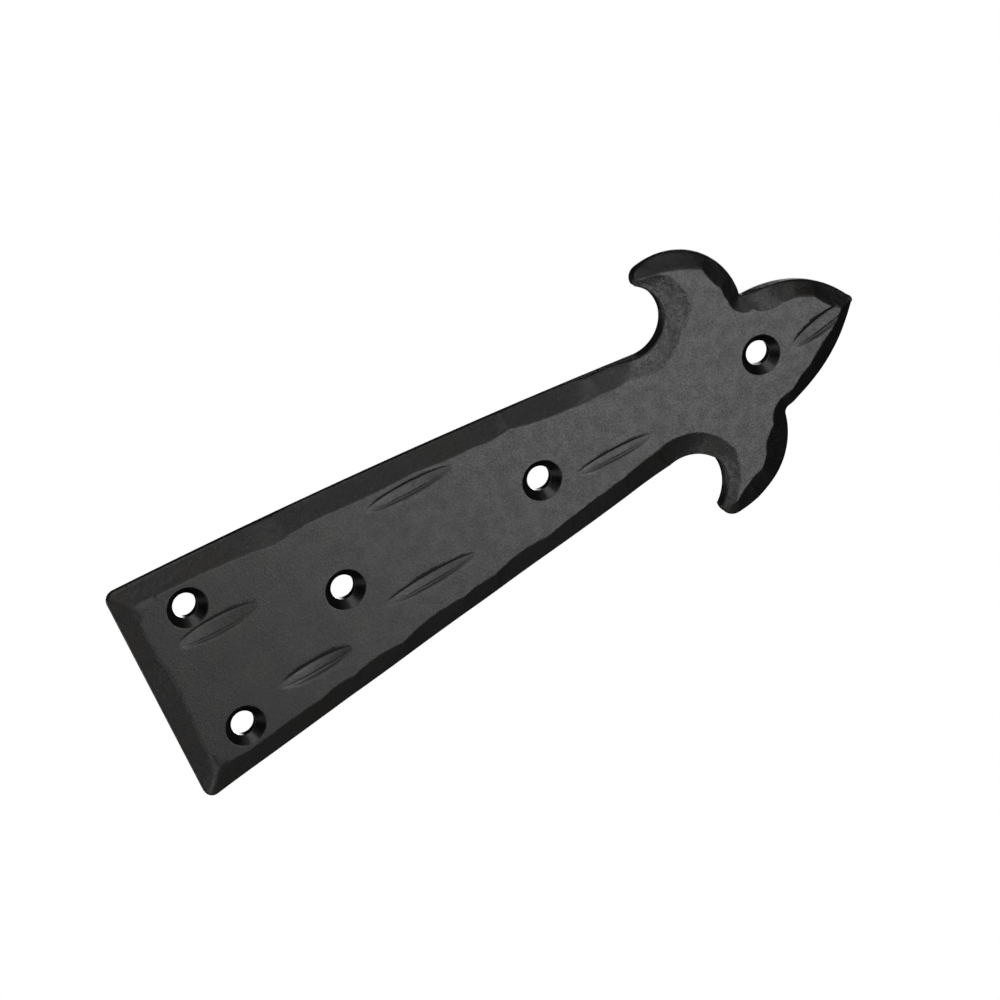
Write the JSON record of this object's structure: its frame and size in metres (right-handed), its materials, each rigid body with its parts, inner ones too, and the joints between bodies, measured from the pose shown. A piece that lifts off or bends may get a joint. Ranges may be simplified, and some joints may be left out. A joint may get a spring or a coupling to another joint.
{
  "type": "strap hinge front",
  "caption": "Decorative strap hinge front: flat tapered iron plate with a hammered bevelled edge, curled side barbs, a spear point, chisel dents and countersunk screw holes.",
  "frame": {"origin": "on the back face, midway between the centres of the pair of screw holes at the butt end", "axes": "+X along the strap from the butt end to the spear point, +Y out of the back face into the door, +Z across the strap, up as it hangs on a door"},
  "size_m": [0.1522, 0.003, 0.0555],
  "materials": {
    "black_iron": "satin black over hammered iron"
  },
  "bodies": {
    "root": {"hinge_front": "black_iron"}
  },
  "joints": []
}
